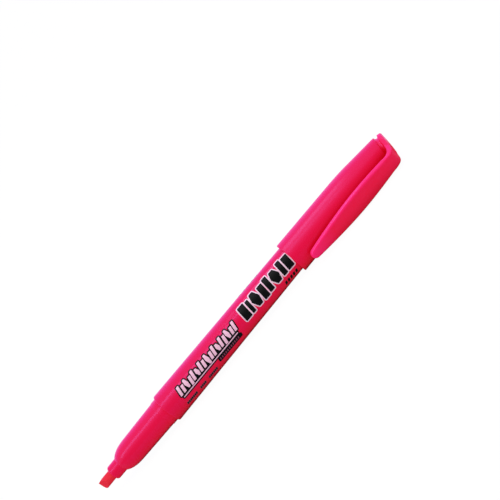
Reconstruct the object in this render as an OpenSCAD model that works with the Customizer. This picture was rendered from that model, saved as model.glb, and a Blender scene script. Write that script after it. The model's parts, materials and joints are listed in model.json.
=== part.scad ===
// Capped chisel-tip highlighter, lying on its side with its cap posted on the barrel's tail.
// Millimetres. X runs along the pen: the nib points to -X and the cap's closed end to +X.
// The origin is on the pen's axis at the barrel's front rim, where the cap seats when the pen is closed.
// +Z is up. The clip points to -Y and a little down, so the pen rests on the barrel, the cap and the clip.

/* [Barrel] */
// Radius of the barrel at its front rim
barrel_front_r = 5.84; // [5.7:0.01:6]
// Radius of the barrel where the posted cap's mouth stands
barrel_neck_r = 5.17; // [5:0.01:5.17]
// Length of the barrel that shows between its front rim and the posted cap
barrel_shown = 65.1; // [60:0.1:70]
// Length of the barrel's tail inside the posted cap
barrel_posted = 17.2; // [14:0.2:18]
// Thickness of the barrel's wall
barrel_wall = 1.1; // [0.9:0.05:1.2]

/* [Front section] */
// Length of the section from the barrel's rim to the end of its nose tube
section_length = 28.2; // [27:0.1:30]
// Radius of the section's grip next to the collar
grip_r = 5; // [4.8:0.01:5.05]
// Radius of the section's grip next to the shoulder
grip_front_r = 4.72; // [4.4:0.01:4.8]
// Radius of the collar that the closed cap grips
collar_r = 5.13; // [5.1:0.01:5.15]
// Length of the collar
collar_length = 2.2; // [1.5:0.1:3]
// Radius of the nose tube
nose_r = 2.75; // [2.6:0.05:2.8]
// Length of the nose tube
nose_length = 4.25; // [3:0.05:5]
// Length of the section's tail inside the barrel
section_tail = 8; // [6:0.5:10]

/* [Nib and ink] */
// How far the nib stands out of the nose tube
nib_reach = 5.2; // [3:0.1:6]
// Radius of the nib's rod
nib_r = 1.8; // [1.5:0.05:1.85]
// Angle of each face of the chisel from the pen's axis
chisel_angle = 34; // [25:1:50]
// Roll of the chisel's edge about the pen's axis
nib_roll = 70; // [0:5:180]
// Slant of the chisel's edge
nib_slant = 6; // [0:1:20]
// Radius of the ink reservoir's fibre core
reservoir_r = 3.5; // [3.4:0.05:3.55]
// Length of the ink reservoir
reservoir_length = 82; // [70:1:84]

/* [Cap] */
// Length of the cap from its mouth to the middle of its sloping end
cap_length = 47.6; // [46:0.1:50]
// Outer radius of the cap at its mouth
cap_mouth_r = 6.31; // [6.1:0.01:6.4]
// Outer radius of the cap where its straight part ends
cap_waist_r = 6.05; // [5.9:0.01:6.1]
// Outer radius of the cap at its closed end
cap_end_r = 4.5; // [4.3:0.05:4.6]
// Radius of the cap's bore
cap_bore_r = 5.2; // [5.19:0.01:5.25]
// Slope of the cap's closed end, lower on the clip's side
end_tilt = 16.5; // [10:0.5:18]

/* [Clip] */
// Distance from the pen's axis to the clip's outer face
clip_face_r = 9.25; // [9:0.05:9.8]
// Thickness of the clip's leaf
clip_thickness = 1.5; // [1.2:0.05:1.6]
// Half of the clip's width at its widest
clip_belly = 3.95; // [3.4:0.05:4.2]
// Half of the clip's width at its end plate
clip_root = 3; // [2.6:0.05:3.2]
// Distance from the cap's mouth to the clip's tip
clip_tip_gap = 4.6; // [4:0.1:8]
// Angle of the clip below the horizontal as the pen lies
clip_droop = 14.8; // [14:0.1:17]
// Angle that the clip springs open
clip_opening = 3.5; // [1:0.5:4]

/* [Hidden] */
$fn = 96;

body_pink = "#F01E69";
cap_pink = "#F5287A";
clip_pink = "#E6286E";
felt_red = "#F02D41";
fibre_pink = "#FF8CAA";
film_clear = "#F5D2DC";
seal_white = "#F2EEF0";

slip = 0.03;              // clearance between pieces that are pushed together
past = 1;                 // how far a cutting shape reaches past what it cuts
arc_steps = 8;            // chords in the outline of a small rounded edge

// The barrel's stations
tail_x = barrel_shown + barrel_posted;
barrel_mid_x = 24;
barrel_mid_r = 5.57;
tail_r = barrel_neck_r - 0.1;
rim_round = 0.6;
seat_r = barrel_front_r - barrel_wall;
tail_bore_r = tail_r - barrel_wall;
plug_depth = 8;
rib_count = 4;
rib_width = 0.6;
rib_gap = 3;
rib_root_r = 4.75;

// The section's stations
nose_x = -section_length;
shoulder_x = nose_x + nose_length;
shoulder_end_x = shoulder_x + 6.7;
section_bore_r = 3.8;
nib_seat_x = shoulder_x + 3.5;
nib_tip_x = nose_x - nib_reach;
nib_tail_x = -5;

// The reservoir's stations
reservoir_x = -12;
film_wall = 0.12;
breather_r = 0.7;
breather_offset = reservoir_r - breather_r - 0.1;

// The cap's stations
mouth_x = barrel_shown;
end_x = mouth_x + cap_length;
waist_x = mouth_x + 27;
cone_x = mouth_x + 34;
cone_r = 5.75;
bore_end_x = tail_x + 2;
liner_r = 4.2;
liner_x = mouth_x + section_length - nose_length + 0.5;
liner_seat_x = mouth_x + 30;
liner_end_x = mouth_x + 40;
end_wall = 2;
end_hollow_x = end_x - end_wall - past;
end_hollow_r = 3.3;
stub_r = 1.55;
stub_length = 1.5;
stub_bore_r = stub_r + 2 * slip + stub_length * tan(clip_opening);

// The clip's stations
clip_back_r = clip_face_r - clip_thickness;
tip_x = mouth_x + clip_tip_gap;
tip_r = 2;
tip_flare = 8.3;          // angle at which the sides leave the tip
belly_x = tip_x + 24.8;
draw_in_x = belly_x + 7.5;
root_x = end_x - 1.7;
neck_r = 4;
neck_height = 1.3;
plate_r = 4.45;
bend_outer = 2.5;
bend_inner = 3;
nub_r = 1.1;

// Points from a to c along a curve whose tangents meet at b
function bend(a, b, c, n = 12) =
    [for (i = [0:n]) let (t = i / n) (1 - t) * (1 - t) * a + 2 * t * (1 - t) * b + t * t * c];

// Points along an arc about a centre, from one angle to another
function arc(centre, r, from, to, n = arc_steps) =
    [for (i = [0:n]) let (a = from + (to - from) * i / n) centre + r * [cos(a), sin(a)]];

// A list of points without its first one
function rest(points) = [for (i = [1:len(points) - 1]) points[i]];

// A solid of revolution about X from an outline of [x, radius] points
module turned(outline) {
    rotate([0, 90, 0])
        rotate_extrude()
            polygon([for (p = outline) [p[1], p[0]]]);
}

// A tube or rod about X
module rod(x0, x1, r) {
    translate([x0, 0, 0])
        rotate([0, 90, 0])
            cylinder(h = x1 - x0, r = r);
}

// The clip's own frame: +Z points out through the clip, from the pen's axis
module toward_clip() {
    rotate([90 + clip_droop, 0, 0]) children();
}

// The frame of the cap's sloping end: its Z is square to the end, and it looks out of the cap
module cap_end() {
    toward_clip()
        translate([end_x, 0, 0])
            rotate([0, 90 - end_tilt, 0])
                children();
}

// Tapered tube with a rounded front rim, a seat at each end and inner ribs that centre the reservoir
module barrel() {
    outside = concat([[0, seat_r]],
                     arc([rim_round, barrel_front_r - rim_round], rim_round, 180, 90),
                     [[barrel_mid_x, barrel_mid_r], [mouth_x, barrel_neck_r], [tail_x, tail_r]]);
    inside = [[tail_x, tail_bore_r], [tail_x - plug_depth, tail_bore_r],
              [section_tail + 0.2, seat_r - 0.2], [section_tail + 0.2, seat_r]];
    color(body_pink) union() {
        turned(concat(outside, inside));
        difference() {
            for (i = [0:rib_count - 1])
                rotate([45 + i * 360 / rib_count, 0, 0])
                    translate([section_tail + rib_gap, -rib_width / 2, 0])
                        cube([tail_x - plug_depth - section_tail - 2 * rib_gap, rib_width, rib_root_r]);
            rod(0, tail_x, reservoir_r + 2 * film_wall + slip);
        }
    }
}

// Grip, collar, shoulder and nose tube in one moulding, with a tail that plugs into the barrel
module front_section() {
    nose_round = nose_r - nib_r - 2 * slip;
    collar_edge = 0.15;
    outside = concat([[nose_x, nib_r + slip]],
                     arc([nose_x + nose_round, nose_r - nose_round], nose_round, 180, 90),
                     bend([shoulder_x, nose_r], [shoulder_x + 2, grip_front_r - 0.12],
                          [shoulder_end_x, grip_front_r - 0.03]),
                     [[-collar_length - collar_edge, grip_r], [-collar_length, collar_r], [0, collar_r],
                      [0, seat_r - slip], [section_tail, seat_r - slip]]);
    inside = [[section_tail, section_bore_r], [nib_seat_x, section_bore_r], [nib_seat_x - 1, nib_r + slip]];
    color(body_pink) turned(concat(outside, inside));
}

// Felt rod with a chisel cut across its tip: two sloping faces that meet at a slanting edge
module chisel_nib() {
    edge = 0.35;
    cut = 6 * nib_r;
    color(felt_red)
        rotate([nib_roll, 0, 0])
            difference() {
                rod(nib_tip_x - past, nib_tail_x, nib_r);
                translate([nib_tip_x, 0, 0])
                    rotate([0, 0, nib_slant]) {
                        translate([-cut, -cut / 2, -cut / 2])
                            cube(cut);
                        for (side = [0, 1])
                            mirror([0, 0, side])
                                translate([0, -cut / 2, edge / 2])
                                    rotate([0, -chisel_angle, 0])
                                        translate([-cut, 0, 0])
                                            cube([2 * cut, cut, cut]);
                    }
            }
}

// Fibre core that holds the ink: the nib's tail is pressed into a pocket in its front end
module ink_reservoir() {
    color(fibre_pink)
        difference() {
            rod(reservoir_x, reservoir_x + reservoir_length, reservoir_r);
            rod(reservoir_x - past, nib_tail_x + slip, nib_r + slip);
            translate([0, 0, breather_offset])
                rod(reservoir_x - past, reservoir_x + reservoir_length + past, breather_r + slip);
            translate([reservoir_x - past, -breather_r / 2, breather_offset])
                cube([reservoir_length + 2 * past, breather_r, reservoir_r]);
        }
}

// Thin sheath wrapped round the fibre core
module reservoir_film() {
    inset = 0.5;
    inner_r = reservoir_r + slip / 3;
    color(film_clear)
        difference() {
            rod(reservoir_x + inset, reservoir_x + reservoir_length - inset, inner_r + film_wall);
            rod(reservoir_x, reservoir_x + reservoir_length, inner_r);
        }
}

// Fine tube beside the core that lets air back into the barrel as ink leaves it
module breather_tube() {
    bore = 0.45;
    proud = 1.5;
    color(seal_white)
        translate([0, 0, breather_offset])
            difference() {
                rod(reservoir_x - proud, reservoir_x + reservoir_length + proud, breather_r);
                rod(reservoir_x - proud - past, reservoir_x + reservoir_length + proud + past, bore);
            }
}

// Plug that closes the barrel's tail: a flange and a hollow stem with a stop for the reservoir
module rear_plug() {
    flange = 1.2;
    stem_r = tail_bore_r - slip;
    stem_wall = 0.9;
    round = 0.4;
    outline = concat([[tail_x - plug_depth + 0.5, stem_r - stem_wall], [tail_x - plug_depth + 0.5, stem_r],
                      [tail_x, stem_r], [tail_x, tail_r - 0.05]],
                     arc([tail_x + flange - round, tail_r - 0.05 - round], round, 90, 0),
                     [[tail_x + flange, 0], [tail_x - 0.6, 0], [tail_x - 0.6, stem_r - stem_wall]]);
    color(body_pink) turned(outline);
}

// Cap: straight sleeve, tapered head with a sloping end, a seat for the inner cap and a hole for the clip
module cap_shell() {
    lip = 0.25;
    over = 4;
    beyond = 2 * cap_end_r;
    end_cut = end_wall + 4 * past;
    cone_slope = (cone_r - cap_end_r) / (end_x + 0.6 - cone_x);
    outside = concat([[mouth_x, cap_bore_r]],
                     arc([mouth_x + lip, cap_mouth_r - lip], lip, 180, 90),
                     bend([waist_x, cap_waist_r], [waist_x + 3.3, cap_waist_r - 0.03], [cone_x, cone_r]),
                     [[end_x + over, cone_r - cone_slope * (end_x + over - cone_x)], [end_x + over, 0]]);
    inside = [[end_hollow_x, 0], [end_hollow_x, end_hollow_r], [liner_end_x, end_hollow_r],
              [liner_end_x, liner_r], [liner_seat_x, liner_r], [liner_seat_x - 1, liner_r + 0.4],
              [bore_end_x + 1, cap_bore_r - 0.3], [bore_end_x, cap_bore_r]];
    color(cap_pink)
        difference() {
            turned(concat(outside, inside));
            cap_end() translate([-beyond, -beyond, 0]) cube(2 * beyond);
            cap_end() translate([0, 0, -end_cut]) cylinder(h = end_cut + past, r = stub_bore_r);
        }
}

// Seal inside the cap: closed over the nib and tight round the nose tube when the pen is capped
module inner_cap() {
    lip = 0.6;
    seal_length = 4;
    wall = 1;
    seal_r = nose_r + 0.05;
    relief_r = nose_r + 0.3;
    outline = [[liner_x, nose_r + lip], [liner_x + lip, seal_r], [liner_x + seal_length, seal_r],
               [liner_x + seal_length + lip, relief_r], [liner_end_x - wall - 1, relief_r],
               [liner_end_x - wall, nose_r - 0.4], [liner_end_x - wall, 0], [liner_end_x - slip, 0],
               [liner_end_x - slip, liner_r - slip], [liner_seat_x + 0.5, liner_r - slip],
               [liner_seat_x, nose_r + wall], [liner_x, nose_r + wall]];
    color(seal_white) turned(outline);
}

// The clip seen square to its face: a rounded tip that swells to the belly, then draws in to the plate
module clip_plan() {
    centre = [tip_x + tip_r, 0];
    from_tip = centre + tip_r * [-sin(tip_flare), cos(tip_flare)];
    swell_x = from_tip[0] + (clip_belly - from_tip[1]) / tan(tip_flare);
    side = concat(rest(bend(from_tip, [swell_x, clip_belly], [belly_x, clip_belly])),
                  rest(bend([belly_x, clip_belly], [draw_in_x, clip_belly], [root_x, clip_root])),
                  [[end_x, clip_root]]);
    other_side = [for (i = [len(side) - 1:-1:0]) [side[i][0], -side[i][1]]];
    polygon(concat(arc(centre, tip_r, 270 - tip_flare, 90 + tip_flare, 20), side, other_side));
}

// The end plate seen square to its face: round about the pen's axis, with straight sides to the bend
module plate_plan() {
    side = clip_root - 0.05;
    reach = 2 * clip_face_r;
    spread = 76;
    polygon(concat(arc([0, 0], plate_r, spread, 360 - spread, 24),
                   [[clip_root + 1, -side], [reach, -side], [reach, side], [clip_root + 1, side]]));
}

// Where the end plate's faces stand on the pen's axis, and how they slope
plate_under_x = end_x + neck_height / cos(end_tilt);
plate_top_x = plate_under_x + clip_thickness / cos(end_tilt);
function plate_x(x, z) = x - z * tan(end_tilt);

// The clip seen from its side, as [x, z]: the sloping plate, the bend and the straight leaf
module clip_side() {
    bend_out = [plate_x(plate_top_x, clip_face_r), clip_face_r];
    bend_in = [plate_x(plate_under_x, clip_back_r), clip_back_r];
    slope = [sin(end_tilt), -cos(end_tilt)];
    edge = 0.35;
    far = plate_r + 1;
    polygon(concat([[plate_x(plate_under_x, -far), -far], [plate_x(plate_top_x, -far), -far]],
                   bend(bend_out + bend_outer * slope, bend_out, bend_out - [bend_outer, 0]),
                   bend([tip_x + edge, clip_face_r], [tip_x, clip_face_r],
                        [tip_x, clip_face_r - clip_thickness / 2], 4),
                   bend([tip_x, clip_face_r - clip_thickness / 2], [tip_x, clip_back_r],
                        [tip_x + edge, clip_back_r], 4),
                   bend(bend_in - [bend_inner, 0], bend_in, bend_in + bend_inner * slope)));
}

// Clip: a straight leaf, a bend and a sloping end plate in one, on a waisted neck that plugs into the cap
module pocket_clip() {
    waist = 0.3;
    lift = 0.02;
    color(clip_pink)
        union() {
            toward_clip() {
                intersection() {
                    rotate([90, 0, 0])
                        linear_extrude(2 * clip_belly + 2, center = true)
                            clip_side();
                    union() {
                        linear_extrude(clip_face_r + 1)
                            clip_plan();
                        translate([end_x, 0, 0])
                            rotate([0, 90 - end_tilt, 0])
                                linear_extrude(10)
                                    rotate([0, 0, 180])
                                        plate_plan();
                    }
                }
                intersection() {
                    translate([tip_x + tip_r + 0.5, 0, clip_back_r + 0.1])
                        rotate([90, 0, 0])
                            cylinder(h = 2 * tip_r - 1, r = nub_r, center = true);
                    translate([tip_x, -tip_r, 0])
                        cube([2 * tip_r + 2, 2 * tip_r, clip_face_r - 0.3]);
                }
            }
            cap_end() {
                rotate_extrude()
                    polygon(concat([[0, lift], [neck_r, lift]],
                                   bend([neck_r, lift + 0.15], [neck_r - waist, neck_height / 2],
                                        [neck_r, neck_height - 0.1], 6),
                                   [[neck_r, neck_height + 0.4], [0, neck_height + 0.4]]));
                translate([0, 0, -stub_length])
                    cylinder(h = stub_length + neck_height, r = stub_r);
            }
        }
}

barrel();
front_section();
chisel_nib();
ink_reservoir();
reservoir_film();
breather_tube();
rear_plug();
cap_shell();
inner_cap();
pocket_clip();
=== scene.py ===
"""Looks of the capped highlighter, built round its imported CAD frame. Lengths are in metres.

X runs along the pen, the nib at -X. The pen lies on the floor with its clip towards -Y.
"""
import json
import math

import bmesh
import bpy
from mathutils import Matrix, Vector
from mathutils.bvhtree import BVHTree


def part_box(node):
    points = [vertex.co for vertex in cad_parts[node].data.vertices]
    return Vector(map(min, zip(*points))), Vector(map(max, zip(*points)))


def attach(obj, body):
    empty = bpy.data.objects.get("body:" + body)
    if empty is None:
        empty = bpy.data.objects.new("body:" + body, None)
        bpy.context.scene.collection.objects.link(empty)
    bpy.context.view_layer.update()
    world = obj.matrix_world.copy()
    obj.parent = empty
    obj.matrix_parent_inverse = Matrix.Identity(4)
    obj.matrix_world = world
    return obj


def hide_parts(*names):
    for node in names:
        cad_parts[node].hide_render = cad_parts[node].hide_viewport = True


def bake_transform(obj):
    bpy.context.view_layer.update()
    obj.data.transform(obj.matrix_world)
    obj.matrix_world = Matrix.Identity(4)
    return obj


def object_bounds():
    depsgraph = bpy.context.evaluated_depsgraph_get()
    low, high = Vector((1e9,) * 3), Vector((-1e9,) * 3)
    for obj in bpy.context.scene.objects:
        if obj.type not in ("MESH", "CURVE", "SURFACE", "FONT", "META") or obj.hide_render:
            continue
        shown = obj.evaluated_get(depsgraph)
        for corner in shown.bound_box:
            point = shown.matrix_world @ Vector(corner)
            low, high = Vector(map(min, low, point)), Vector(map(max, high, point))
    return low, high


MM = 0.001
TAU = 2 * math.pi
QUARTER_TURN = math.pi / 2

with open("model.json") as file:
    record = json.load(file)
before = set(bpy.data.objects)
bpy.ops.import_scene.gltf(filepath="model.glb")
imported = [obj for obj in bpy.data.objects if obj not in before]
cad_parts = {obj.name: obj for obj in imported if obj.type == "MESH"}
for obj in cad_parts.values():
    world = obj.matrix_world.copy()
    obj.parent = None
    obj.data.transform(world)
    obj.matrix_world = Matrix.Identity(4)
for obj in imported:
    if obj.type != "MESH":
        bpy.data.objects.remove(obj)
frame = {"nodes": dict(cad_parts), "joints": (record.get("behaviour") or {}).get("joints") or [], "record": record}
cad_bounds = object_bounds()
scene = bpy.context.scene
joints = {j["name"]: j for j in frame["joints"]}

# ---------------------------------------------------------------- the frame's own directions

ALONG = Vector((1, 0, 0))
SIDE = Vector(joints["clip_flex"]["axis"]).normalized()   # across the clip
OUT = SIDE.cross(-ALONG)                                  # from the pen's axis out through the clip
VIEW_RISE = math.radians(21.2)                            # the camera's height above the horizon
TO_CAMERA = Vector((0, -math.cos(VIEW_RISE), math.sin(VIEW_RISE)))
DOWN_IN_VIEW = Vector((0, -math.sin(VIEW_RISE), -math.cos(VIEW_RISE)))

# ---------------------------------------------------------------- measuring the CAD nodes

FAR = 40 * MM        # a place outside the pen, whatever the direction across it
HAIR = 0.002 * MM    # keeps a measuring ray just inside a node's end


def ray_trees():
    """A ray-casting tree for each CAD node."""
    trees = {}
    for name, obj in frame["nodes"].items():
        corners = [v.co for v in obj.data.vertices]
        faces = [p.vertices for p in obj.data.polygons]
        trees[name] = BVHTree.FromPolygons(corners, faces)
    return trees


SHAPES = ray_trees()


def reach(node, start, direction):
    """How far a CAD node's surface stands from start in a direction, seen from outside."""
    hit = SHAPES[node].ray_cast(start + direction * FAR, -direction)
    return FAR - hit[3] if hit[0] is not None else 0.0


def depth(node, start, direction):
    """How far it is from start to the CAD node's first surface in a direction."""
    hit = SHAPES[node].ray_cast(start, direction)
    return hit[3] if hit[0] is not None else 0.0


def spokes(count):
    """Directions square to the pen, on the half that faces away from the clip."""
    turns = [math.pi * (i + 0.5) / count - QUARTER_TURN for i in range(count)]
    return [-OUT * math.cos(a) + SIDE * math.sin(a) for a in turns]


def outer_radius(node, x):
    return max(reach(node, ALONG * x, d) for d in spokes(9))


def inner_radius(node, x, rays=9):
    return max(depth(node, ALONG * x, d) for d in spokes(rays))


def ends(node):
    """A CAD node's lowest and highest x."""
    low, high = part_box(node)
    return low.x, high.x


def frame_mount(name):
    return next(m for m in frame["record"]["mounts"] if m["name"] == name)


RIM_X, TAIL_X = ends("barrel")
NOSE_X, SECTION_END_X = ends("front_section")
NIB_TIP_X, NIB_TAIL_X = ends("chisel_nib")
PLUG_X, PLUG_END_X = ends("rear_plug")
MOUTH_X = ends("cap_shell")[0]
CLIP_TIP_X = ends("pocket_clip")[0]


def spaced(start, end, count, ease_start=False, ease_end=False):
    """Numbers from start to end, closer together at an eased end."""
    shares = [i / count for i in range(count + 1)]
    if ease_start and ease_end:
        shares = [(1 - math.cos(math.pi * s)) / 2 for s in shares]
    elif ease_start:
        shares = [1 - math.cos(math.pi * s / 2) for s in shares]
    elif ease_end:
        shares = [math.sin(math.pi * s / 2) for s in shares]
    return [start + (end - start) * s for s in shares]


# ---------------------------------------------------------------- mesh helpers

SOFT_EDGE = 0.42 * MM    # how far the ends of the cap and the clip are rounded


def add_object(name, mesh, body, material, stands_for=()):
    """Puts a finished mesh in the scene. It rides on a body, or on none."""
    obj = bpy.data.objects.new(name, mesh)
    scene.collection.objects.link(obj)
    mesh.materials.clear()
    mesh.materials.append(material)
    if body is not None:
        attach(obj, body)
    if stands_for:
        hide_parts(*stands_for)
    return obj


def open_mesh(mesh):
    bm = bmesh.new()
    bm.from_mesh(mesh)
    return bm


def close_mesh(bm, mesh, angle=38):
    """Stores an edited mesh with smooth shading, and edges sharper than the angle left crisp."""
    bmesh.ops.recalc_face_normals(bm, faces=bm.faces[:])
    bm.to_mesh(mesh)
    bm.free()
    for face in mesh.polygons:
        face.use_smooth = True
    mesh.set_sharp_from_angle(angle=math.radians(angle))


def mesh_from(name, corners, faces, angle=38):
    mesh = bpy.data.meshes.new(name)
    mesh.from_pydata([tuple(c) for c in corners], [], faces)
    close_mesh(open_mesh(mesh), mesh, angle)
    return mesh


def join_rings(rings, closed):
    """Faces between neighbouring rings of corner numbers; a ring of one number is a pole."""
    faces = []
    pairs = list(zip(rings, rings[1:]))
    if closed:
        pairs.append((rings[-1], rings[0]))
    for a, b in pairs:
        for i in range(max(len(a), len(b))):
            j = i + 1
            quad = [a[i % len(a)], a[j % len(a)], b[j % len(b)], b[i % len(b)]]
            faces.append(list(dict.fromkeys(quad)))
    return faces


def lathe(name, outline, closed=True, turn=160):
    """A turned shape about X from [x, radius] points. A radius of zero is a pole."""
    corners, rings = [], []
    for x, r in outline:
        count = turn if r > 1e-7 else 1
        rings.append(list(range(len(corners), len(corners) + count)))
        angles = [TAU * i / turn for i in range(count)]
        corners += [(x, r * math.cos(a), r * math.sin(a)) for a in angles]
    return mesh_from(name, corners, join_rings(rings, closed))


def cut_off(bm, point, normal):
    """Cuts away what lies beyond a plane, closes the cut and gives back its rim."""
    parts = bm.verts[:] + bm.edges[:] + bm.faces[:]
    cut = bmesh.ops.bisect_plane(bm, geom=parts, plane_co=point, plane_no=normal, clear_outer=True)
    rim = [e for e in cut["geom_cut"] if isinstance(e, bmesh.types.BMEdge)]
    bmesh.ops.holes_fill(bm, edges=rim)
    return rim


# ---------------------------------------------------------------- shader helpers

def new_material(name):
    """A new material, with its node tree and its Principled node."""
    material = bpy.data.materials.new(name)
    material.use_nodes = True
    tree = material.node_tree
    return material, tree, tree.nodes["Principled BSDF"]


def adjust(node, **values):
    """Sets a node's properties, and its inputs for names that aren't properties."""
    for key, value in values.items():
        if hasattr(node, key):
            setattr(node, key, value)
        else:
            node.inputs[key.replace("_", " ")].default_value = value
    return node


def add_node(tree, kind, **values):
    return adjust(tree.nodes.new(kind), **values)


def noise(tree, scale, detail=3.0, stretch=(1, 1, 1)):
    """Noise in the object's own coordinates, with its features per metre set by scale."""
    where = add_node(tree, "ShaderNodeTexCoord")
    mapping = add_node(tree, "ShaderNodeMapping", Scale=stretch)
    texture = add_node(tree, "ShaderNodeTexNoise", Scale=scale, Detail=detail)
    tree.links.new(where.outputs["Object"], mapping.inputs["Vector"])
    tree.links.new(mapping.outputs["Vector"], texture.inputs["Vector"])
    return texture.outputs["Fac"]


def ramp(tree, source, stops):
    """Colours that follow source through stops, each a position and a colour."""
    colours = add_node(tree, "ShaderNodeValToRGB")
    elements = colours.color_ramp.elements
    while len(elements) < len(stops):
        elements.new(0.5)
    for element, (position, colour) in zip(elements, stops):
        element.position = position
        element.color = (*colour, 1)
    tree.links.new(source, colours.inputs["Fac"])
    return colours.outputs["Color"]


def between(tree, source, low, high, start=0.3, end=0.7):
    """Colours from low to high as source goes from start to end."""
    return ramp(tree, source, [(start, low), (end, high)])


def spread(tree, source, low, high, start=0.0, end=1.0):
    """A number from low to high as source goes from start to end."""
    span = add_node(tree, "ShaderNodeMapRange",
                    From_Min=start, From_Max=end, To_Min=low, To_Max=high)
    tree.links.new(source, span.inputs["Value"])
    return span.outputs["Result"]


def part_of(tree, vector, axis):
    """One of a vector's three numbers."""
    split = add_node(tree, "ShaderNodeSeparateXYZ")
    tree.links.new(vector, split.inputs["Vector"])
    return split.outputs[axis]


def worked_out(tree, operation, *values):
    """The result of an operation on two values, each a socket or a plain number."""
    result = add_node(tree, "ShaderNodeMath", operation=operation)
    for socket, value in zip(result.inputs, values):
        if isinstance(value, float):
            socket.default_value = value
        else:
            tree.links.new(value, socket)
    return result.outputs["Value"]


def mixed(tree, share, first, second):
    """A shader that goes from the first to the second as share goes from 0 to 1."""
    mix = add_node(tree, "ShaderNodeMixShader")
    if isinstance(share, float):
        mix.inputs["Fac"].default_value = share
    else:
        tree.links.new(share, mix.inputs["Fac"])
    tree.links.new(first, mix.inputs[1])
    tree.links.new(second, mix.inputs[2])
    return mix.outputs["Shader"]


def bump(tree, shader, sources, distance):
    """Relief from one or more noises, each given as (socket, strength)."""
    normal = None
    for source, strength in sources:
        relief = add_node(tree, "ShaderNodeBump", Strength=strength, Distance=distance)
        tree.links.new(source, relief.inputs["Height"])
        if normal is not None:
            tree.links.new(normal, relief.inputs["Normal"])
        normal = relief.outputs["Normal"]
    tree.links.new(normal, shader.inputs["Normal"])


# ---------------------------------------------------------------- materials

# The colour of the painted glow that stands in for the dye's fluorescence.
PAINTED_GLOW_RED = (1.0, 0.003, 0.0)


def openness(tree):
    """How open a surface stands to the room: 0 deep in a gap, 1 in the open; it masks the painted shade."""
    gap = add_node(tree, "ShaderNodeAmbientOcclusion", samples=6, Distance=5 * MM)
    return spread(tree, gap.outputs["AO"], 0.0, 1.0, start=0.15, end=0.9)


def painted_glow_from_above(tree, shader, colour, strength, open_share):
    """Painted glow for the dye: full where a surface faces up or outwards, as lit from above; painted shade below
    and in gaps.
    """
    normal = add_node(tree, "ShaderNodeNewGeometry").outputs["Normal"]
    from_above = spread(tree, part_of(tree, normal, "Z"), 0.0, strength, start=-1.0, end=-0.6)
    in_the_open = spread(tree, open_share, 0.45, 1.0)
    painted_glow = worked_out(tree, "MULTIPLY", from_above, in_the_open)
    tree.links.new(painted_glow, shader.inputs["Emission Strength"])
    adjust(shader, Emission_Color=(*colour, 1))


def painted_shade_in_gaps(tree, colour, open_share):
    """Painted shade: the colour darker and redder in gaps, where light has to bounce between pink surfaces."""
    mix = add_node(tree, "ShaderNodeMix", data_type="RGBA", blend_type="MULTIPLY")
    mix.inputs["Factor"].default_value = 1.0
    painted_shade_tint = between(tree, open_share, (0.85, 0.2, 0.3), (1, 1, 1), start=0.2, end=1.0)
    tree.links.new(colour, mix.inputs["A"])
    tree.links.new(painted_shade_tint, mix.inputs["B"])
    return mix.outputs["Result"]


def fluorescent_plastic(name, deep, light, painted_glow, rough, gloss):
    """Moulded plastic with a fluorescent dye, a faint flow pattern, a violet sheen, a painted glow and painted
    shade in gaps.
    """
    material, tree, shader = new_material(name)
    clouds = noise(tree, 90, 2.0, (0.4, 1, 1))
    skin = noise(tree, 2600)
    flow = noise(tree, 260, stretch=(0.1, 1, 1))
    open_share = openness(tree)
    # Random tone, with painted shade in gaps.
    tone_and_painted_shade = painted_shade_in_gaps(tree, between(tree, clouds, deep, light), open_share)
    tree.links.new(tone_and_painted_shade, shader.inputs["Base Color"])
    tree.links.new(spread(tree, skin, rough - 0.04, rough + 0.04), shader.inputs["Roughness"])
    adjust(shader, IOR=1.49, Specular_IOR_Level=gloss, Specular_Tint=(0.25, 0.3, 1.0, 1))
    painted_glow_from_above(tree, shader, PAINTED_GLOW_RED, painted_glow, open_share)
    bump(tree, shader, [(skin, 0.01), (flow, 0.03)], 0.05 * MM)
    return material


def felt(name, dark, light, painted_glow, stretch, scale):
    """Pressed fibre: streaks along the pen, a rough surface, a soft sheen and a painted glow."""
    material, tree, shader = new_material(name)
    fibres = noise(tree, scale, 6.0, stretch)
    clumps = noise(tree, scale / 6, 2.0, stretch)
    streaks = between(tree, fibres, dark, light, start=0.35, end=0.65)
    tree.links.new(streaks, shader.inputs["Base Color"])
    adjust(shader, Roughness=0.75, Specular_IOR_Level=0.25)
    adjust(shader, Sheen_Weight=0.1, Sheen_Tint=(1, 0.5, 0.5, 1))
    painted_glow_from_above(tree, shader, (1, 0.02, 0.035), painted_glow, openness(tree))
    bump(tree, shader, [(fibres, 0.5), (clumps, 0.3)], 0.12 * MM)
    return material


def white_polythene(name):
    """Natural polythene: milky, waxy and a little see-through at thin edges."""
    material, tree, shader = new_material(name)
    haze = noise(tree, 300)
    milk = between(tree, haze, (0.78, 0.74, 0.75), (0.88, 0.85, 0.86))
    tree.links.new(milk, shader.inputs["Base Color"])
    adjust(shader, Roughness=0.42, Subsurface_Weight=0.5, Subsurface_Scale=0.8 * MM)
    bump(tree, shader, [(haze, 0.1)], 0.05 * MM)
    return material


def clear_film(name):
    """Thin wrapping film with crinkles, tinted by the ink behind it."""
    material, tree, shader = new_material(name)
    crinkle = noise(tree, 500, 4.0, (0.3, 1, 1))
    tint = between(tree, crinkle, (0.85, 0.45, 0.55), (0.95, 0.7, 0.78))
    tree.links.new(tint, shader.inputs["Base Color"])
    adjust(shader, Roughness=0.2, Transmission_Weight=0.7)
    bump(tree, shader, [(crinkle, 0.4)], 0.1 * MM)
    return material


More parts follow.
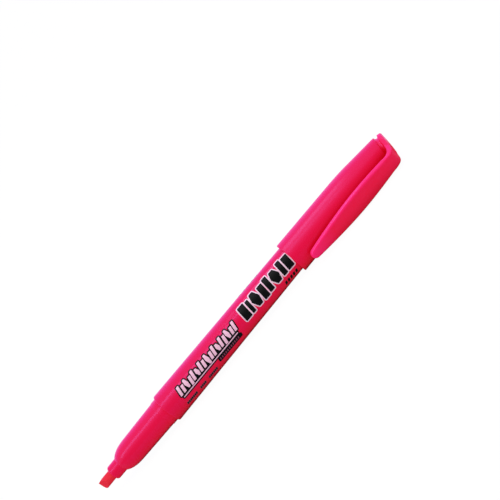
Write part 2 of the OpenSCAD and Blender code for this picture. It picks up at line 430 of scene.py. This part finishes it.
def printed_ink(name, low, high, rough, gloss=0.5, painted_glow_colour=(0, 0, 0), painted_glow=0.0):
    """Pad-printed ink, a thin mottled layer. A painted glow, where given, stands for the dye showing through pale
    ink.
    """
    material, tree, shader = new_material(name)
    adjust(shader, Specular_IOR_Level=gloss, Emission_Color=(*painted_glow_colour, 1),
           Emission_Strength=painted_glow)
    mottle = noise(tree, 1500, 4.0)
    tree.links.new(between(tree, mottle, low, high), shader.inputs["Base Color"])
    tree.links.new(spread(tree, mottle, rough - 0.08, rough + 0.08), shader.inputs["Roughness"])
    bump(tree, shader, [(mottle, 0.08)], 0.02 * MM)
    return material


# Each part's pink carries a painted glow of its own strength.
BARREL_PINK = fluorescent_plastic("barrel_pink", (0.47, 0.007, 0.088), (0.50, 0.008, 0.096),
                                  painted_glow=0.45, rough=0.17, gloss=0.5)
SECTION_PINK = fluorescent_plastic("section_pink", (0.44, 0.007, 0.086), (0.47, 0.008, 0.094),
                                   painted_glow=0.49, rough=0.17, gloss=0.5)
CAP_PINK = fluorescent_plastic("cap_pink", (0.42, 0.005, 0.083), (0.45, 0.006, 0.091),
                               painted_glow=0.52, rough=0.27, gloss=0.55)
CLIP_PINK = fluorescent_plastic("clip_pink", (0.45, 0.009, 0.104), (0.48, 0.010, 0.112),
                                painted_glow=0.60, rough=0.25, gloss=1.0)
NIB_FELT = felt("nib_felt", (0.40, 0.010, 0.028), (0.55, 0.018, 0.045),
                painted_glow=0.48, stretch=(0.15, 1, 1), scale=3500)
CORE_FIBRE = felt("core_fibre", (0.85, 0.16, 0.28), (1.0, 0.36, 0.48),
                  painted_glow=0.1, stretch=(0.05, 1, 1), scale=2500)
SEAL_WHITE = white_polythene("seal_white")
FILM_CLEAR = clear_film("film_clear")
INK_BLACK = printed_ink("ink_black", (0.003, 0.004, 0.004), (0.006, 0.007, 0.007),
                        rough=0.45, gloss=0.15)
INK_PALE = printed_ink("ink_pale", (0.90, 0.56, 0.70), (0.97, 0.66, 0.78),
                       rough=0.35, painted_glow_colour=(0.9, 0.42, 0.58), painted_glow=0.28)
INK_ROSE = printed_ink("ink_rose", (0.36, 0.07, 0.14), (0.44, 0.10, 0.18), rough=0.38)
INK_WHITE = printed_ink("ink_white", (0.92, 0.66, 0.78), (0.98, 0.76, 0.86),
                        rough=0.35, painted_glow_colour=(0.95, 0.6, 0.72), painted_glow=0.22)

# ---------------------------------------------------------------- turned pieces


def build_barrel():
    """The barrel's shell: a rounded front rim, a long taper and the bore behind it."""
    rim = spaced(RIM_X + HAIR, RIM_X + 0.65 * MM, 10, ease_start=True)
    body = spaced(RIM_X + 2 * MM, TAIL_X - 0.3 * MM, 40)
    outside = [(x, outer_radius("barrel", x)) for x in rim + body]
    tail_r = outside[-1][1]
    outside += [(TAIL_X - 0.08 * MM, tail_r - 0.03 * MM), (TAIL_X, tail_r - 0.12 * MM)]
    bore_xs = spaced(TAIL_X - HAIR, RIM_X + 9 * MM, 12) + [RIM_X + 8 * MM, RIM_X + HAIR]
    inside = [(x, inner_radius("barrel", x, rays=14)) for x in bore_xs]
    mesh = lathe("barrel_shell", outside + inside)
    add_object("barrel_shell", mesh, "barrel", BARREL_PINK, ["barrel"])


def shoulder_start():
    """Where the nose tube begins to widen into the shoulder."""
    tube_r = outer_radius("front_section", NOSE_X + 2 * MM)
    stations = spaced(NOSE_X + 3 * MM, NOSE_X + 6 * MM, 60)
    return next(x for x in stations if outer_radius("front_section", x) > tube_r + 0.01 * MM)


def build_section():
    """Grip, collar, shoulder and nose tube, with the nib's bore."""
    collar_x = -frame_mount("cap_seat")["dims"]["length_mm"] * MM
    shoulder_x = shoulder_start()
    nose = spaced(NOSE_X + HAIR, NOSE_X + 0.95 * MM, 10, ease_start=True)
    tube = [NOSE_X + 2 * MM, shoulder_x - 0.02 * MM]
    shoulder = spaced(shoulder_x + 0.02 * MM, shoulder_x + 6.9 * MM, 26, ease_start=True)
    grip = spaced(shoulder_x + 8 * MM, collar_x - 0.2 * MM, 10)
    outside = [(x, outer_radius("front_section", x)) for x in nose + tube + shoulder + grip]
    collar_r = outer_radius("front_section", collar_x + 0.5 * MM)
    grip_r = outer_radius("front_section", collar_x - 0.25 * MM)
    step = [(collar_x - 0.12 * MM, grip_r), (collar_x - 0.04 * MM, grip_r + 0.02 * MM),
            (collar_x, collar_r - 0.04 * MM), (collar_x + 0.06 * MM, collar_r),
            (RIM_X - HAIR, collar_r)]
    spigot_r = outer_radius("front_section", 1 * MM)
    spigot = [(RIM_X + HAIR, spigot_r), (SECTION_END_X, spigot_r)]
    bore_xs = [SECTION_END_X - HAIR, shoulder_x + 4.2 * MM, shoulder_x + 2 * MM, NOSE_X + HAIR]
    inside = [(x, inner_radius("front_section", x)) for x in bore_xs]
    mesh = lathe("grip_section", outside + step + spigot + inside)
    add_object("grip_section", mesh, "barrel", SECTION_PINK, ["front_section"])


def build_plug():
    """The tail plug's flange with a softened edge, and its hollow stem."""
    flange_r = outer_radius("rear_plug", PLUG_END_X - 0.6 * MM)
    stem_r = outer_radius("rear_plug", TAIL_X - 1 * MM)
    hollow_r = stem_r - 0.9 * MM
    floor_x = TAIL_X - 0.6 * MM
    edge = 0.4 * MM
    corner = [(PLUG_END_X - edge + edge * math.sin(a), flange_r - edge + edge * math.cos(a))
              for a in spaced(0, QUARTER_TURN, 8)]
    outline = [(PLUG_END_X, 0)] + corner[::-1] + [
        (TAIL_X + HAIR, flange_r), (TAIL_X + HAIR, stem_r), (PLUG_X + 0.3 * MM, stem_r),
        (PLUG_X, stem_r - 0.3 * MM), (PLUG_X, hollow_r), (floor_x, hollow_r), (floor_x, 0)]
    mesh = lathe("tail_plug", outline, closed=False)
    add_object("tail_plug", mesh, "barrel", BARREL_PINK, ["rear_plug"])


# ---------------------------------------------------------------- cap

def cap_end_at(out):
    """The point of the cap's sloping end that stands over a distance out from the axis."""
    beyond_the_pen = ALONG * (200 * MM)
    return SHAPES["cap_shell"].ray_cast(beyond_the_pen + OUT * out, -ALONG)[0]


END_NEAR, END_FAR = cap_end_at(3 * MM), cap_end_at(-3 * MM)
END_TILT = math.atan2(END_FAR.x - END_NEAR.x, 6 * MM)
END_NORMAL = ALONG * math.cos(END_TILT) + OUT * math.sin(END_TILT)
END_X = (END_NEAR.x + END_FAR.x) / 2
END = ALONG * END_X
DOWN_PLATE = ALONG * math.sin(END_TILT) - OUT * math.cos(END_TILT)   # away from the clip's bend


def build_cap():
    """The cap's sleeve and tapering head, cut on a slope at its closed end, with softened edges."""
    lip = spaced(MOUTH_X + HAIR, MOUTH_X + 0.3 * MM, 6, ease_start=True)
    straight = spaced(MOUTH_X + 1 * MM, MOUTH_X + 26 * MM, 12)
    waist = spaced(MOUTH_X + 27 * MM, MOUTH_X + 34.5 * MM, 16)
    head_x = MOUTH_X + 42 * MM
    outside = [(x, outer_radius("cap_shell", x)) for x in lip + straight + waist + [head_x]]
    (x0, r0), (x1, r1) = outside[-2:]
    beyond = END_X + 4 * MM
    outside.append((beyond, r1 + (r1 - r0) * (beyond - x1) / (x1 - x0)))
    bore_xs = [MOUTH_X + step * MM for step in (39, 31, 29.9, 28.9, 21, 19)] + [MOUTH_X + HAIR]
    inside = [(x, inner_radius("cap_shell", x)) for x in bore_xs]
    outline = [(beyond, 0)] + outside[::-1] + inside[::-1] + [(bore_xs[0], 0)]
    mesh = lathe("cap_sleeve", outline, closed=False)
    bm = open_mesh(mesh)
    rim = cut_off(bm, END, END_NORMAL)
    bmesh.ops.bevel(bm, geom=rim, offset=SOFT_EDGE, segments=6, profile=0.5, affect="EDGES")
    close_mesh(bm, mesh)
    add_object("cap_sleeve", mesh, "cap", CAP_PINK, ["cap_shell"])


# ---------------------------------------------------------------- clip

def clip_point(x, out, side=0.0):
    return ALONG * x + OUT * out + SIDE * side


def leaf_back(x, out):
    """How far from the axis the leaf's inner face is, looked for from a place in the gap."""
    return depth("pocket_clip", clip_point(x, out), OUT) + out


def plate_face_height(x, direction):
    """How high a face of the end plate stands over the cap's end, beside the neck."""
    hit = SHAPES["pocket_clip"].ray_cast(clip_point(x, 5.2 * MM), direction)[0]
    return (hit - END).dot(END_NORMAL)


CLIP_FACE = max(reach("pocket_clip", ALONG * (MOUTH_X + step * MM), OUT) for step in (20, 30))
CLIP_BACK = leaf_back(MOUTH_X + 25 * MM, 6.6 * MM)
PLATE_TOP = plate_face_height(END_X + 20 * MM, -ALONG)
PLATE_UNDER = plate_face_height(END_X - 0.8 * MM, ALONG)
PLATE_R = reach("pocket_clip", END + END_NORMAL * (PLATE_TOP + PLATE_UNDER) / 2, DOWN_PLATE)

OUTER_BEND, INNER_BEND = 2.5 * MM, 3 * MM
LEAF_ROLL = (0.85 * MM, 1.0 * MM)     # how far in and down the outer face rolls over at each side
PLATE_ROLL = (0.4 * MM, 0.4 * MM)
INNER_EDGE = 0.2 * MM
LEAF_CROWN = 0.12 * MM
NECK_WAIST = 0.3 * MM


def curve_through(a, b, c, count):
    """Points from a to c along a curve whose tangents meet at b."""
    return [a * (1 - t) ** 2 + b * 2 * t * (1 - t) + c * t * t for t in spaced(0, 1, count)]


def bend_line(out, plate_height, bend):
    """The curve that joins a face of the leaf to the same face of the end plate."""
    corner_x = END_X + plate_height / math.cos(END_TILT) - out * math.tan(END_TILT)
    corner = clip_point(corner_x, out)
    return curve_through(corner - ALONG * bend, corner, corner + DOWN_PLATE * bend, 22)


def clip_path():
    """Pairs of points on the clip's outer and inner lines, from its tip to the plate's far edge."""
    outer = bend_line(CLIP_FACE, PLATE_TOP, OUTER_BEND)
    inner = bend_line(CLIP_BACK, PLATE_UNDER, INNER_BEND)
    tip_xs = spaced(CLIP_TIP_X + HAIR, CLIP_TIP_X + 2.2 * MM, 20, ease_start=True)
    arm_xs = spaced(CLIP_TIP_X + 3 * MM, inner[0].x - 0.6 * MM, 48)
    arm = [(clip_point(x, CLIP_FACE), clip_point(x, CLIP_BACK)) for x in tip_xs + arm_xs]
    far_outer = END + END_NORMAL * PLATE_TOP + DOWN_PLATE * (PLATE_R - HAIR)
    far_inner = END + END_NORMAL * PLATE_UNDER + DOWN_PLATE * (PLATE_R - HAIR)
    shares = spaced(0, 1, 40, ease_end=True)[1:]
    plate = [(outer[-1].lerp(far_outer, s), inner[-1].lerp(far_inner, s)) for s in shares]
    return arm + list(zip(outer, inner)) + plate


def leaf_ring(outer, inner, half, crown, shrink, roll):
    """One cross-section of the clip: flat inside, crowned outside and rolled over at the sides."""
    middle = (outer + inner) / 2
    up = (outer - inner) / 2
    thick = up.length * shrink
    up = up.normalized()
    wide = min(roll[0], 0.9 * half)
    deep = min(roll[1], 1.5 * thick)
    edge = min(INNER_EDGE, 0.7 * thick, 0.9 * half)

    def at(side, height):
        drop = crown * (side / half) ** 4 * max(height / thick, 0.0) * shrink
        return middle + SIDE * side + up * (height - drop)

    turns = spaced(0, QUARTER_TURN, 12)
    over = [(half - wide * (1 - math.sin(a)), thick - deep * (1 - math.cos(a))) for a in turns]
    heel = [(half - edge * (1 - math.cos(a)), edge * (1 - math.sin(a)) - thick) for a in turns[::2]]
    side = over + heel
    across = spaced(wide - half, half - wide, 16)[1:-1]
    back = spaced(half - edge, edge - half, 10)[1:-1]
    return ([at(u, thick) for u in across] + [at(u, v) for u, v in side]
            + [at(u, -thick) for u in back] + [at(-u, v) for u, v in side[::-1]])


def clipped(share):
    return min(1.0, max(0.0, share))


def build_clip_leaf():
    """The clip's leaf, bend and end plate in one smooth bar, bent where the real clip flexes."""
    pairs = clip_path()
    middles = [(o + i) / 2 for o, i in pairs]
    steps = [(b - a).length for a, b in zip(middles, middles[1:])]
    walked = [sum(steps[:i]) for i in range(len(middles))]
    corners, rings = [], []
    for (outer, inner), middle, s in zip(pairs, middles, walked):
        half = max(reach("pocket_clip", middle, SIDE), 0.05 * MM)
        near_end = min(s, walked[-1] - s)
        shrink = 1.0
        if near_end < SOFT_EDGE:
            still_full = math.sqrt(max(SOFT_EDGE ** 2 - (SOFT_EDGE - near_end) ** 2, 0.0))
            shrink = 1 - (SOFT_EDGE - still_full) / ((outer - inner).length / 2)
        crown = LEAF_CROWN * clipped((END_X - 4 * MM - middle.x) / (8 * MM))
        on_plate = clipped((middle.x - END_X + 3 * MM) / (3 * MM))
        roll = [a + (b - a) * on_plate for a, b in zip(LEAF_ROLL, PLATE_ROLL)]
        ring = leaf_ring(outer, inner, half, crown, shrink, roll)
        rings.append(list(range(len(corners), len(corners) + len(ring))))
        corners += ring
    faces = join_rings(rings, closed=False) + [rings[0][::-1], rings[-1]]
    mesh = mesh_from("clip_leaf", corners, faces, angle=50)
    paint_light_on_edges(CLIP_PINK)
    leaf = add_object("clip_leaf", mesh, None, CLIP_PINK, ["pocket_clip"])
    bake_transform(leaf)


def paint_light_on_edges(material):
    """Paints light on the leaf's upward, lit edge and on its tip: its glow turns pinker there, fading out towards
    the plate.
    """
    tree = material.node_tree
    normal = add_node(tree, "ShaderNodeNewGeometry").outputs["Normal"]
    where = add_node(tree, "ShaderNodeTexCoord").outputs["Object"]
    x = part_of(tree, where, "X")
    upward = spread(tree, part_of(tree, normal, "Z"), 0.0, 0.8, start=-0.2, end=0.5)
    tip = spread(tree, x, 0.0, 1.0, start=CLIP_TIP_X + 11 * MM, end=CLIP_TIP_X + MM)
    leaf = spread(tree, x, 0.0, 1.0, start=END_X - MM, end=END_X - 7 * MM)
    edges = worked_out(tree, "MULTIPLY", worked_out(tree, "MAXIMUM", upward, tip), leaf)
    colour = between(tree, edges, PAINTED_GLOW_RED, (1.12, 0.012, 0.12), start=0.0, end=1.0)
    tree.links.new(colour, tree.nodes["Principled BSDF"].inputs["Emission Color"])


def build_clip_nub():
    """The low ridge under the clip's tip that grips a pocket's edge."""
    x = CLIP_TIP_X + 2.6 * MM
    out = CLIP_BACK + 0.1 * MM
    drop = out - leaf_back(x, 6.2 * MM)
    half = 1.75 * MM
    around = 24
    turns = [TAU * i / around for i in range(around)]
    corners, rings = [], []
    for share in spaced(-1, 1, 16, ease_start=True, ease_end=True):
        swell = max(1 - abs(share) ** 3, 0.02) ** 0.5
        centre = clip_point(x, out, share * half)
        rings.append(list(range(len(corners), len(corners) + around)))
        corners += [centre + (ALONG * math.cos(a) - OUT * math.sin(a)) * drop * swell
                    for a in turns]
    faces = join_rings(rings, closed=False) + [rings[0][::-1], rings[-1]]
    add_object("clip_nub", mesh_from("clip_nub", corners, faces), "clip", CLIP_PINK)


def build_clip_neck():
    """The waisted neck from the cap's end to the plate, and the stub that plugs into the cap."""
    neck_r = reach("pocket_clip", END + END_NORMAL * 0.1 * MM, DOWN_PLATE)
    stub_r = reach("pocket_clip", END - END_NORMAL * 0.8 * MM, DOWN_PLATE)
    in_plate = PLATE_UNDER + 0.4 * MM
    waist = curve_through(Vector((0.02 * MM, neck_r)),
                          Vector((PLATE_UNDER / 2, neck_r - 2.2 * NECK_WAIST)),
                          Vector((PLATE_UNDER, neck_r)), 18)
    outline = [(in_plate, 0), (in_plate, neck_r)] + [(p.x, p.y) for p in waist[::-1]]
    outline += [(0.02 * MM, stub_r), (-1.3 * MM, stub_r),
                (-1.5 * MM, stub_r - 0.2 * MM), (-1.5 * MM, 0)]
    mesh = lathe("clip_neck", outline, closed=False, turn=96)
    tilted = ALONG.rotation_difference(END_NORMAL).to_matrix().to_4x4()
    mesh.transform(Matrix.Translation(END) @ tilted)
    add_object("clip_neck", mesh, "cap", CLIP_PINK)


# ---------------------------------------------------------------- nib

def build_nib():
    """Felt rod cut to a slanted chisel, with its far corner worn round."""
    roll = math.radians(70)           # of the whole chisel about the pen
    slant = math.radians(6.5)         # of its edge
    face_angle = math.radians(34)     # of its two faces to the pen
    flank_angle = math.radians(8)     # of the cut beside its near corner
    half_edge = 0.18 * MM
    worn = 0.9 * MM
    chamfer = 0.4 * MM
    r = outer_radius("chisel_nib", NOSE_X)
    outline = [(NIB_TIP_X - MM, 0), (NIB_TIP_X - MM, r)]
    outline += [(x, r) for x in spaced(NIB_TIP_X, NIB_TAIL_X - chamfer, 24)]
    outline += [(NIB_TAIL_X, r - chamfer), (NIB_TAIL_X, 0)]
    mesh = lathe("felt_nib", outline, closed=False, turn=96)

    tip = Vector((NIB_TIP_X + r * math.sin(slant), 0, 0))
    slanted = Matrix.Rotation(slant, 3, "Z")
    planes = []
    for side in (1, -1):
        normal = Vector((-math.sin(face_angle), 0, side * math.cos(face_angle)))
        planes.append((tip + Vector((0, 0, side * half_edge)), slanted @ normal))
    planes.append((tip, Vector((-math.cos(slant), -math.sin(slant), 0))))
    corner = Vector((NIB_TIP_X + r * math.sin(slant) * 2 + worn, worn - r, 0))
    for turn in spaced(math.radians(15), math.radians(80), 5):
        away = Vector((-math.cos(turn), -math.sin(turn), 0))
        planes.append((corner + away * worn, away))
    flank = Vector((NIB_TIP_X + 1.0 * MM, r - 0.12 * MM, 0))
    planes.append((flank, Vector((-math.sin(flank_angle), math.cos(flank_angle), 0))))

    bm = open_mesh(mesh)
    for point, normal in planes:
        cut_off(bm, point, normal)
    rolled = Matrix.Rotation(roll, 3, "X")
    bmesh.ops.rotate(bm, verts=bm.verts[:], cent=(0, 0, 0), matrix=rolled)
    close_mesh(bm, mesh, 25)
    add_object("felt_nib", mesh, "barrel", NIB_FELT, ["chisel_nib"])


# ---------------------------------------------------------------- print on the barrel
# Drawn on the unrolled barrel in millimetres: x along the pen, then the arc down from the side
# that the camera faces.

BARREL_LINE = [(x, outer_radius("barrel", x)) for x in spaced(2 * MM, 66 * MM, 32)]
UNDER_LAYER, TOP_LAYER = 0.012 * MM, 0.026 * MM    # how far the inks stand off the barrel
SUNK = -0.03 * MM                                  # where the back of an ink layer lies


def barrel_radius(x):
    for (x0, r0), (x1, r1) in zip(BARREL_LINE, BARREL_LINE[1:]):
        if x <= x1:
            break
    return r0 + (r1 - r0) * (x - x0) / (x1 - x0)


def on_barrel(x, arc, lift):
    r = barrel_radius(x * MM)
    turn = arc * MM / r
    away = TO_CAMERA * math.cos(turn) + DOWN_IN_VIEW * math.sin(turn)
    return ALONG * x * MM + away * (r + lift)


def bar(x, width, top, bottom, lean):
    """A bar that leans towards the cap."""
    shift = lean * (bottom - top) / 2
    return [(x + shift, top), (x + width + shift, top),
            (x + width - shift, bottom), (x - shift, bottom)]


def lozenge(x, width, top, bottom):
    """A six-sided shape with points at both ends."""
    tip = 0.28 * width
    middle = (top + bottom) / 2
    return [(x, middle), (x + tip, top), (x + width - tip, top),
            (x + width, middle), (x + width - tip, bottom), (x + tip, bottom)]


def grown(points, margin):
    """A convex outline moved outwards by a margin, with round corners."""
    corner_steps = 4
    count = len(points)
    area = sum(a[0] * b[1] - b[0] * a[1] for a, b in zip(points, points[1:] + points[:1]))
    if area < 0:
        points = points[::-1]
    outline = []
    for i, (u, v) in enumerate(points):
        u0, v0 = points[i - 1]
        u1, v1 = points[(i + 1) % count]
        start = math.atan2(u0 - u, v - v0)
        end = math.atan2(u - u1, v1 - v)
        sweep = (end - start) % TAU
        turns = [start + sweep * k / corner_steps for k in range(corner_steps + 1)]
        outline += [(u + margin * math.cos(a), v + margin * math.sin(a)) for a in turns]
    return outline


def cut_places(values, step):
    """Places between the lowest and the highest value, about a step apart."""
    low, high = min(values), max(values)
    return spaced(low, high, max(1, round((high - low) / step)))[1:-1]


def print_layer(name, shapes, lift, material):
    """A thin layer of ink for each shape, wrapped round the barrel."""
    bm = bmesh.new()
    for shape in shapes:
        bm.faces.new([bm.verts.new((u, v, 0)) for u, v in shape])
    cuts = [((0, v, 0), (0, 1, 0)) for v in cut_places([vert.co.y for vert in bm.verts], 0.35)]
    cuts += [((u, 0, 0), (1, 0, 0)) for u in cut_places([vert.co.x for vert in bm.verts], 2)]
    for point, normal in cuts:
        parts = bm.verts[:] + bm.edges[:] + bm.faces[:]
        bmesh.ops.bisect_plane(bm, geom=parts, plane_co=point, plane_no=normal, dist=1e-5)
    below = bmesh.ops.extrude_face_region(bm, geom=bm.faces[:])
    sunk = {v for v in below["geom"] if isinstance(v, bmesh.types.BMVert)}
    for vert in bm.verts:
        vert.co = on_barrel(vert.co.x, vert.co.y, SUNK if vert in sunk else lift)
    mesh = bpy.data.meshes.new(name)
    close_mesh(bm, mesh, 30)
    add_object(name, mesh, "barrel", material)


def outlined(cores, inner, border):
    """Inner shapes and the border shapes that lie under them."""
    return [grown(core, inner) for core in cores], [grown(core, inner + border) for core in cores]


def slats(x, widths, gap, top, bottom, lean, step):
    """Slanting bars and lozenges in turn, at stepped heights."""
    shapes = []
    for i, width in enumerate(widths):
        high, low = top + step * (i % 2), bottom + 0.6 * step * (i % 5 == 3)
        if i % 3 == 2:
            shapes.append(lozenge(x, width, high, low))
        else:
            shapes.append(bar(x, width, high, low, lean))
        x += width + gap
    return shapes


def dashes(start, end, pitch, width, top, bottom, margin, lean=0.28):
    """A row of short slanting marks."""
    count = int((end - start) / pitch)
    return [grown(bar(start + pitch * i, width, top, bottom, lean), margin) for i in range(count)]


def build_print():
    """Generic bars, lozenges and dashes in place of a label."""
    title_start, title_end = 7.7, 36.6
    title_widths = [0.8 + 0.5 * (i % 3 == 2) for i in range(17)]
    title = slats(title_start, title_widths, gap=0.78, top=-2.1, bottom=0.95, lean=0.28, step=0.75)
    rule_end = title_end - 1.6
    title.append([(title_start, 1.85), (rule_end, 1.85), (rule_end, 1.95), (title_start, 1.95)])
    pale, black = outlined(title, inner=0.13, border=0.46)
    black.append([(title_start, -1), (title_end - 1.2, -1), (rule_end, 1.6), (title_start, 1.6)])
    badge = [(24.6, 2.9), (title_end - 1.2, 2.9), (title_end - 1.4, 3.65), (24.4, 3.65)]
    black.append(grown(badge, 0.45))
    rose = dashes(24.8, rule_end, pitch=0.9, width=0.34, top=2.92, bottom=3.6, margin=0.07)

    small, shadow = [], []
    for start, end in ((6.7, 11.8), (13.4, 16.4), (17.8, 22.3)):
        small += dashes(start, end, pitch=0.72, width=0.22, top=4.3, bottom=5.0, margin=0.09)
        shadow += dashes(start, end, pitch=0.72, width=0.22, top=4.3, bottom=5.0, margin=0.3)

    emblem_widths = [2.3, 0.9, 3.0, 1.9, 1.5, 3.3, 1.4, 2.2]
    emblem = slats(40.5, emblem_widths, gap=1.06, top=-3.1, bottom=1.7, lean=0.12, step=0.5)
    bold, halo = outlined(emblem, inner=0.28, border=0.4)

    code = dashes(57.6, 64.2, pitch=1.3, width=0.6, top=3.75, bottom=4.95, margin=0.15)
    notes = []
    for row in range(11):
        arc = 8.3 + 1.7 * row
        start, end = (49, 64) if row < 6 else (44, 55)
        notes += dashes(start, end, pitch=2.1, width=1.2, top=arc, bottom=arc + 0.5,
                        margin=0.06, lean=0)

    print_layer("print_title_border", black, UNDER_LAYER, INK_BLACK)
    print_layer("print_title", pale, TOP_LAYER, INK_PALE)
    print_layer("print_badge", rose, TOP_LAYER, INK_ROSE)
    print_layer("print_line_border", shadow, UNDER_LAYER, INK_ROSE)
    print_layer("print_line", small, TOP_LAYER, INK_BLACK)
    print_layer("print_emblem_border", halo, UNDER_LAYER, INK_WHITE)
    print_layer("print_emblem", bold, TOP_LAYER, INK_BLACK)
    print_layer("print_code", code, UNDER_LAYER, INK_BLACK)
    print_layer("print_notes", notes, UNDER_LAYER, INK_BLACK)


# ---------------------------------------------------------------- floor, light and camera

MIDDLE = ALONG * 40 * MM    # where the light panels point


def build_floor():
    """White to the camera but for a trace of shadow. It gives the pen little light back, with a painted shadow
    under and just behind the pen.
    """
    floor_z = cad_bounds[0][2]
    size = 20.0
    corners = [(-size, -size), (size, -size), (size, size), (-size, size)]
    mesh = bpy.data.meshes.new("floor")
    mesh.from_pydata([(x, y, floor_z) for x, y in corners], [], [(0, 1, 2, 3)])
    material, tree, shader = new_material("floor_white")
    tree.nodes.remove(shader)
    white = add_node(tree, "ShaderNodeEmission", Strength=1.03)
    paper = add_node(tree, "ShaderNodeBsdfDiffuse")
    grain = between(tree, noise(tree, 40), (0.88, 0.88, 0.88), (0.92, 0.92, 0.92))
    tree.links.new(grain, paper.inputs["Color"])
    seen = mixed(tree, 0.06, white.outputs["Emission"], paper.outputs["BSDF"])

    bounce = add_node(tree, "ShaderNodeBsdfDiffuse")
    where = add_node(tree, "ShaderNodeTexCoord").outputs["Object"]
    # Painted shadow, seen only by rays other than the camera's: darkest under and just behind the pen.
    behind = spread(tree, part_of(tree, where, "Y"), 0.0, 1.0, start=-5 * MM, end=20 * MM)
    painted_floor_shadow = ramp(tree, behind, [(0.0, (0.36, 0.36, 0.36)), (0.24, (0.07, 0.07, 0.07)),
                                (0.55, (0.07, 0.07, 0.07)), (0.85, (0.5, 0.5, 0.6))])
    tree.links.new(painted_floor_shadow, bounce.inputs["Color"])

    to_camera = add_node(tree, "ShaderNodeLightPath").outputs["Is Camera Ray"]
    both = mixed(tree, to_camera, bounce.outputs["BSDF"], seen)
    tree.links.new(both, tree.nodes["Material Output"].inputs["Surface"])
    mesh.materials.append(material)
    floor = bpy.data.objects.new("floor", mesh)
    scene.collection.objects.link(floor)


def area_light(name, away, distance, length, width, power):
    """A soft panel that stands off from the pen's middle and faces it, its length along the pen."""
    lamp = bpy.data.lights.new(name, "AREA")
    lamp.shape = "RECTANGLE"
    lamp.size = length
    lamp.size_y = width
    lamp.energy = power
    obj = bpy.data.objects.new(name, lamp)
    scene.collection.objects.link(obj)
    back = away.normalized()
    across = (ALONG - back * ALONG.dot(back)).normalized()
    up = back.cross(across)
    turned = Matrix((across, up, back)).transposed().to_4x4()
    obj.matrix_world = Matrix.Translation(MIDDLE + back * distance) @ turned


def facing_up(rise):
    """A direction square to the pen, at an angle in degrees from the floor on the camera's side."""
    return Vector((0, -math.cos(math.radians(rise)), math.sin(math.radians(rise))))


def build_sky():
    """A tent round the pen, dim on the camera's side and bluish behind, that looks white itself."""
    world = bpy.data.worlds.new("studio")
    scene.world = world
    world.use_nodes = True
    tree = world.node_tree
    where = add_node(tree, "ShaderNodeTexCoord").outputs["Generated"]
    front = worked_out(tree, "MULTIPLY", part_of(tree, where, "Y"), -1.0)
    turn = worked_out(tree, "ARCTAN2", part_of(tree, where, "Z"), front)
    share = spread(tree, turn, 0.0, 1.0, start=0.0, end=math.pi)
    # Degrees round from the camera's side, then the red and green level, then the blue one.
    levels = [(0, 0.12, 0.12), (30, 0.12, 0.12), (55, 0.7, 0.7), (85, 0.55, 0.6),
              (105, 0.42, 0.6), (130, 0.45, 1.2), (155, 0.45, 1.2), (178, 0.5, 1.4)]
    tent = ramp(tree, share, [(angle / 180, (level, level, blue)) for angle, level, blue in levels])
    sky = adjust(tree.nodes["Background"], Strength=1.3)
    tree.links.new(tent, sky.inputs["Color"])
    white = add_node(tree, "ShaderNodeBackground", Color=(1, 1, 1, 1))
    to_camera = add_node(tree, "ShaderNodeLightPath").outputs["Is Camera Ray"]
    both = mixed(tree, to_camera, sky.outputs["Background"], white.outputs["Background"])
    tree.links.new(both, tree.nodes["World Output"].inputs["Surface"])


def build_camera():
    """Looks down on the pen from its clip's side, turned so that the nib is at the lower left."""
    turn = math.radians(50.4)
    right = ALONG * math.cos(turn) + DOWN_IN_VIEW * math.sin(turn)
    up = ALONG * math.sin(turn) - DOWN_IN_VIEW * math.cos(turn)
    aim = ALONG * 58.5 * MM - DOWN_IN_VIEW * 12.3 * MM
    distance = 333.3 * MM
    lens = bpy.data.cameras.new("camera")
    lens.lens = 72
    lens.sensor_width = 36
    lens.clip_start = 0.01
    camera = bpy.data.objects.new("camera", lens)
    scene.collection.objects.link(camera)
    turned = Matrix((right, up, TO_CAMERA)).transposed().to_4x4()
    camera.matrix_world = Matrix.Translation(aim + TO_CAMERA * distance) @ turned
    scene.camera = camera


# ---------------------------------------------------------------- build

build_barrel()
build_section()
build_plug()
build_cap()
build_clip_leaf()
build_clip_nub()
build_clip_neck()
build_nib()
build_print()
for node, material in (("ink_reservoir", CORE_FIBRE), ("reservoir_film", FILM_CLEAR),
                       ("breather_tube", SEAL_WHITE), ("inner_cap", SEAL_WHITE)):
    shape = frame["nodes"][node].data
    shape.materials.clear()
    shape.materials.append(material)

build_floor()
build_sky()
area_light("key_panel", facing_up(66) - ALONG * 0.33, 0.63, length=0.72, width=0.16, power=0.84)
area_light("top_panel", facing_up(93) + ALONG * 0.1, 0.65, length=0.17, width=0.26, power=0.5)
build_camera()
scene.view_settings.view_transform = "Standard"
